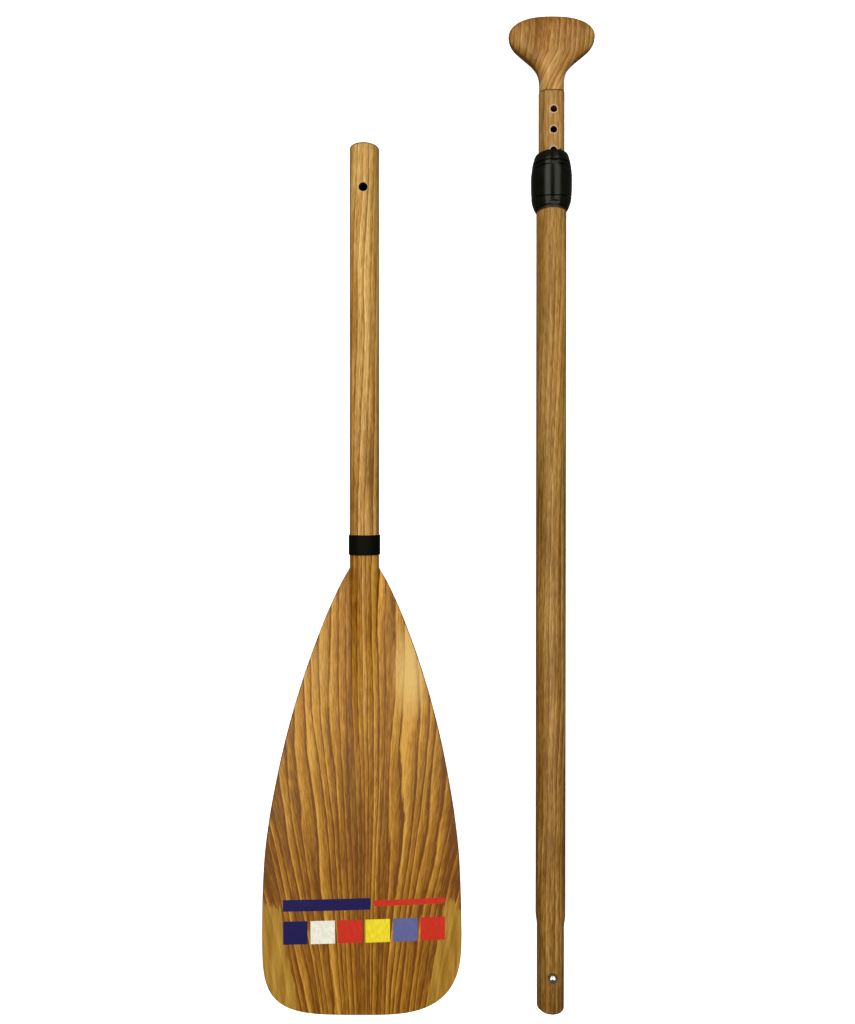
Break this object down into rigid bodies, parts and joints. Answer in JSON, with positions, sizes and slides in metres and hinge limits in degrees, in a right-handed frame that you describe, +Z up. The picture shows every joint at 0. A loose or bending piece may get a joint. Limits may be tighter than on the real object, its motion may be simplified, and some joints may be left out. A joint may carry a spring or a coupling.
{
  "type": "single blade paddle",
  "caption": "Adjustable single blade paddle in two sections, with a wood-print blade and shafts, a lever collar, a snap button and a T-shaped palm grip.",
  "frame": {"origin": "bottom centre of the whole layout's box, on the floor", "axes": "+Y along the shafts, towards the grip; +Z up, away from the floor; +X to the upper section's side"},
  "size_m": [0.3344, 1.0037, 0.0405],
  "materials": {
    "blade_print": "moulded blade with a wood-grain film under a satin clear coat",
    "shaft_print": "aluminium tube with a pale wood-grain print and a satin clear coat",
    "upper_shaft_print": "aluminium tube with a wood-grain print and a satin clear coat",
    "grip_print": "moulded grip with a wood-grain print",
    "black_plastic": "moulded black plastic, satin",
    "steel": "polished stainless steel",
    "spring_steel": "bright spring steel strip",
    "nylon": "natural nylon",
    "foam": "closed-cell foam"
  },
  "bodies": {
    "blade_section": {"blade": "blade_print", "seam_band": "black_plastic", "lower_shaft": "shaft_print", "lower_float_plug": "foam"},
    "upper_shaft": {"main_shaft": "upper_shaft_print", "float_plug": "foam", "button_spring": "spring_steel", "collar_base": "black_plastic", "collar_sleeve": "black_plastic", "collar_cap": "black_plastic", "guide_bush": "nylon", "lever_pin": "steel"},
    "lock_lever": {"lock_lever": "black_plastic", "lock_peg": "steel"},
    "snap_button": {"snap_button": "steel"},
    "extension": {"extension_tube": "upper_shaft_print", "extension_plug": "nylon", "grip": "grip_print"}
  },
  "joints": [
    {"name": "section_lift", "type": "slide", "parent": "blade_section", "child": "upper_shaft", "axis": [0, 0, 1], "range_m": [0, 0.1]},
    {"name": "extension_slide", "type": "slide", "parent": "upper_shaft", "child": "extension", "axis": [0, 1, 0.0074], "range_m": [-0.04, 0.32]},
    {"name": "lever_hinge", "type": "hinge", "parent": "upper_shaft", "child": "lock_lever", "pos_m": [0.1243, 0.35106, 0.03781], "axis": [-1, 0, 0], "range_deg": [0, 95]},
    {"name": "button_press", "type": "slide", "parent": "upper_shaft", "child": "snap_button", "axis": [0, 0.0074, -1], "range_m": [0, 0.005], "stiffness_N_per_m": 2500, "springref_m": -0.002, "deforming": ["button_spring"]}
  ]
}
